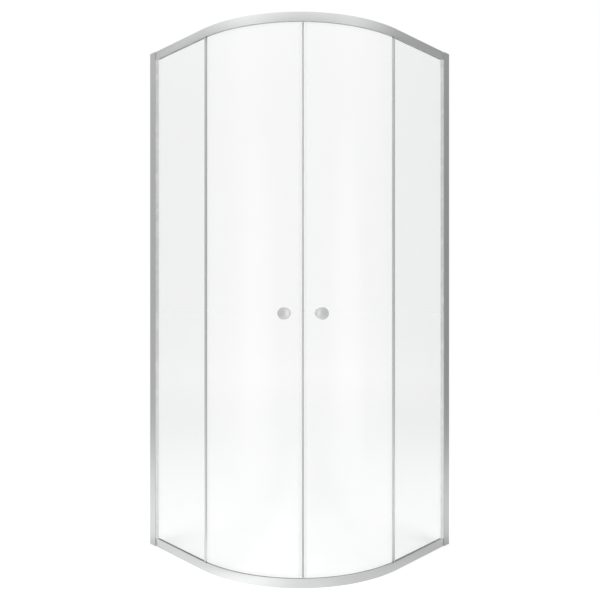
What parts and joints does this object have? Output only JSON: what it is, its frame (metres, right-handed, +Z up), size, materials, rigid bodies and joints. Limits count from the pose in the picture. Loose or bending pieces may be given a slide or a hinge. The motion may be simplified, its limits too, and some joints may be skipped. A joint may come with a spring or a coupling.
{
  "type": "quadrant shower enclosure",
  "caption": "Quadrant corner shower enclosure with flat fixed side panels, curved sliding glass doors on rollers, bent metal rails and round knobs.",
  "frame": {"origin": "floor level, at the middle of the square plan that the two room walls and the two outer faces make", "axes": "+Z up; the room corner is at -X +Y, one wall profile stands on the wall that faces +X and the other on the wall that faces -Y, and the curved doors face +X -Y"},
  "size_m": [0.8, 0.8, 1.85],
  "materials": {
    "aluminium": "satin",
    "glass": "clear polished",
    "grey_rubber": "matte",
    "clear_plastic": "clear",
    "magnet": "satin",
    "white_nylon": "satin",
    "grey_nylon": "satin",
    "chrome": "satin polished",
    "steel": "turned"
  },
  "bodies": {
    "frame": {"top_rail": "aluminium", "bottom_rail": "aluminium", "wall_profile_left": "aluminium", "wall_post_left": "aluminium", "fixed_glass_left": "glass", "post_gasket_left": "grey_rubber", "edge_profile_left": "aluminium", "corner_key_top_left": "grey_nylon", "corner_key_bottom_left": "grey_nylon", "open_stop_left": "grey_nylon", "close_stop_left": "grey_nylon", "wall_profile_right": "aluminium", "wall_post_right": "aluminium", "fixed_glass_right": "glass", "post_gasket_right": "grey_rubber", "edge_profile_right": "aluminium", "corner_key_top_right": "grey_nylon", "corner_key_bottom_right": "grey_nylon", "open_stop_right": "grey_nylon", "close_stop_right": "grey_nylon"},
    "door_left": {"door_glass_left": "glass", "magnet_seal_left": "clear_plastic", "magnet_strip_left": "magnet", "rear_seal_left": "clear_plastic", "knob_outside_left": "chrome", "knob_inside_left": "chrome", "knob_screw_left": "steel", "roller_axle_top_left_front": "steel", "roller_nut_top_left_front": "chrome", "roller_axle_top_left_rear": "steel", "roller_nut_top_left_rear": "chrome", "roller_axle_bottom_left_front": "steel", "roller_nut_bottom_left_front": "chrome", "roller_axle_bottom_left_rear": "steel", "roller_nut_bottom_left_rear": "chrome"},
    "wheel_top_left_front": {"roller_wheel_top_left_front": "white_nylon"},
    "wheel_top_left_rear": {"roller_wheel_top_left_rear": "white_nylon"},
    "wheel_bottom_left_front": {"roller_wheel_bottom_left_front": "white_nylon"},
    "wheel_bottom_left_rear": {"roller_wheel_bottom_left_rear": "white_nylon"},
    "door_right": {"door_glass_right": "glass", "magnet_seal_right": "clear_plastic", "magnet_strip_right": "magnet", "rear_seal_right": "clear_plastic", "knob_outside_right": "chrome", "knob_inside_right": "chrome", "knob_screw_right": "steel", "roller_axle_top_right_front": "steel", "roller_nut_top_right_front": "chrome", "roller_axle_top_right_rear": "steel", "roller_nut_top_right_rear": "chrome", "roller_axle_bottom_right_front": "steel", "roller_nut_bottom_right_front": "chrome", "roller_axle_bottom_right_rear": "steel", "roller_nut_bottom_right_rear": "chrome"},
    "wheel_top_right_front": {"roller_wheel_top_right_front": "white_nylon"},
    "wheel_top_right_rear": {"roller_wheel_top_right_rear": "white_nylon"},
    "wheel_bottom_right_front": {"roller_wheel_bottom_right_front": "white_nylon"},
    "wheel_bottom_right_rear": {"roller_wheel_bottom_right_rear": "white_nylon"}
  },
  "joints": [
    {"name": "door_left_slide", "type": "hinge", "parent": "frame", "child": "door_left", "pos_m": [-0.07927, 0.08569, 0.925], "axis": [0, 0, -1], "range_deg": [0, 24.39]},
    {"name": "wheel_top_left_front_spin", "type": "hinge", "parent": "door_left", "child": "wheel_top_left_front", "pos_m": [0.21506, -0.29207, 1.8392], "axis": [-0.6203, 0.7844, 0], "continuous": true},
    {"name": "wheel_top_left_rear_spin", "type": "hinge", "parent": "door_left", "child": "wheel_top_left_rear", "pos_m": [0.09473, -0.36109, 1.8392], "axis": [-0.3638, 0.9315, 0], "continuous": true},
    {"name": "wheel_bottom_left_front_spin", "type": "hinge", "parent": "door_left", "child": "wheel_bottom_left_front", "pos_m": [0.21506, -0.29207, 0.0108], "axis": [-0.6203, 0.7844, 0], "continuous": true},
    {"name": "wheel_bottom_left_rear_spin", "type": "hinge", "parent": "door_left", "child": "wheel_bottom_left_rear", "pos_m": [0.09473, -0.36109, 0.0108], "axis": [-0.3638, 0.9315, 0], "continuous": true},
    {"name": "door_right_slide", "type": "hinge", "parent": "frame", "child": "door_right", "pos_m": [-0.10133, 0.08405, 0.925], "axis": [0, 0, 1], "range_deg": [0, 23.59]},
    {"name": "wheel_top_right_front_spin", "type": "hinge", "parent": "door_right", "child": "wheel_top_right_front", "pos_m": [0.30524, -0.19759, 1.8392], "axis": [-0.8125, 0.583, 0], "continuous": true},
    {"name": "wheel_top_right_rear_spin", "type": "hinge", "parent": "door_right", "child": "wheel_top_right_rear", "pos_m": [0.36857, -0.07417, 1.8392], "axis": [-0.9474, 0.32, 0], "continuous": true},
    {"name": "wheel_bottom_right_front_spin", "type": "hinge", "parent": "door_right", "child": "wheel_bottom_right_front", "pos_m": [0.30524, -0.19759, 0.0108], "axis": [-0.8125, 0.583, 0], "continuous": true},
    {"name": "wheel_bottom_right_rear_spin", "type": "hinge", "parent": "door_right", "child": "wheel_bottom_right_rear", "pos_m": [0.36857, -0.07417, 0.0108], "axis": [-0.9474, 0.32, 0], "continuous": true}
  ],
  "couplings": [
    {"joint": "wheel_top_left_front_spin", "follows": "door_left_slide", "ratio": -60.619},
    {"joint": "wheel_top_left_rear_spin", "follows": "door_left_slide", "ratio": -60.692},
    {"joint": "wheel_bottom_left_front_spin", "follows": "door_left_slide", "ratio": 60.619},
    {"joint": "wheel_bottom_left_rear_spin", "follows": "door_left_slide", "ratio": 60.692},
    {"joint": "wheel_top_right_front_spin", "follows": "door_right_slide", "ratio": 62.607},
    {"joint": "wheel_top_right_rear_spin", "follows": "door_right_slide", "ratio": 62.763},
    {"joint": "wheel_bottom_right_front_spin", "follows": "door_right_slide", "ratio": -62.607},
    {"joint": "wheel_bottom_right_rear_spin", "follows": "door_right_slide", "ratio": -62.763}
  ]
}
